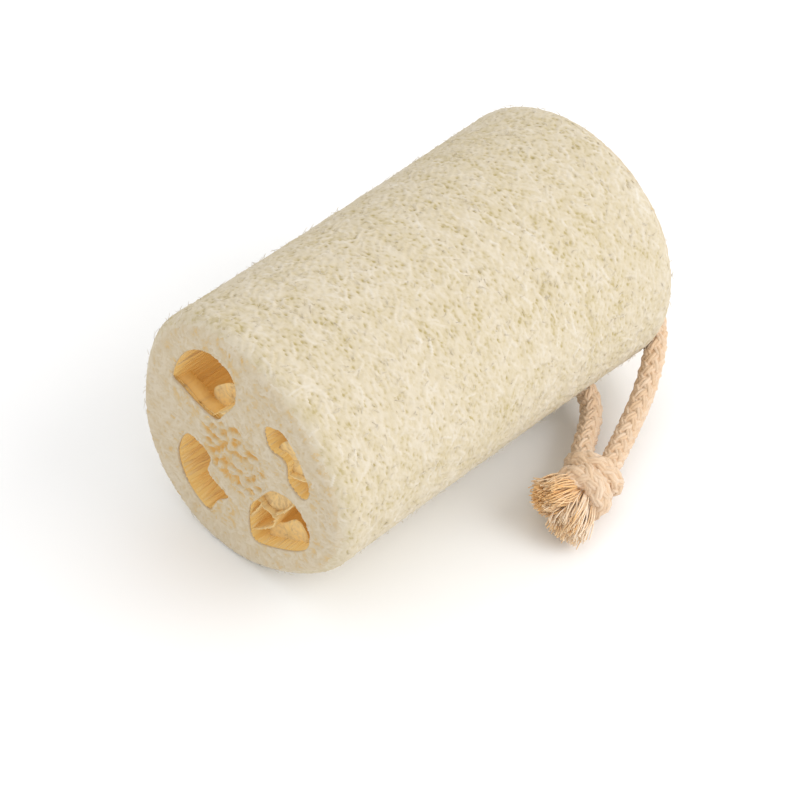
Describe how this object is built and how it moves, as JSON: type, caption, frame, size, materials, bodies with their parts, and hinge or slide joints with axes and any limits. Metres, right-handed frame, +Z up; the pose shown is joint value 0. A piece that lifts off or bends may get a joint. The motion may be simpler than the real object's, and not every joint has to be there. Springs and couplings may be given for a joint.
{
  "type": "natural loofah sponge",
  "caption": "Dried loofah sponge, a fibrous cylinder with a net surface and seed chambers through it, on a knotted cotton hanging rope.",
  "frame": {"origin": "on the surface that the sponge lies on, under its middle", "axes": "+X along the sponge, from the plain cut end to the end that carries the rope; +Z up; the rope lies on the -Y side"},
  "size_m": [0.1271, 0.0957, 0.0759],
  "materials": {
    "loofah_fibre": "pale cream dried plant fibre, open net of pores, matt",
    "cotton_rope": "pinkish beige braided cotton, matt, frayed at the cut ends"
  },
  "bodies": {
    "root": {"loofah": "loofah_fibre", "rope_loop": "cotton_rope", "rope_knot": "cotton_rope"}
  },
  "joints": []
}
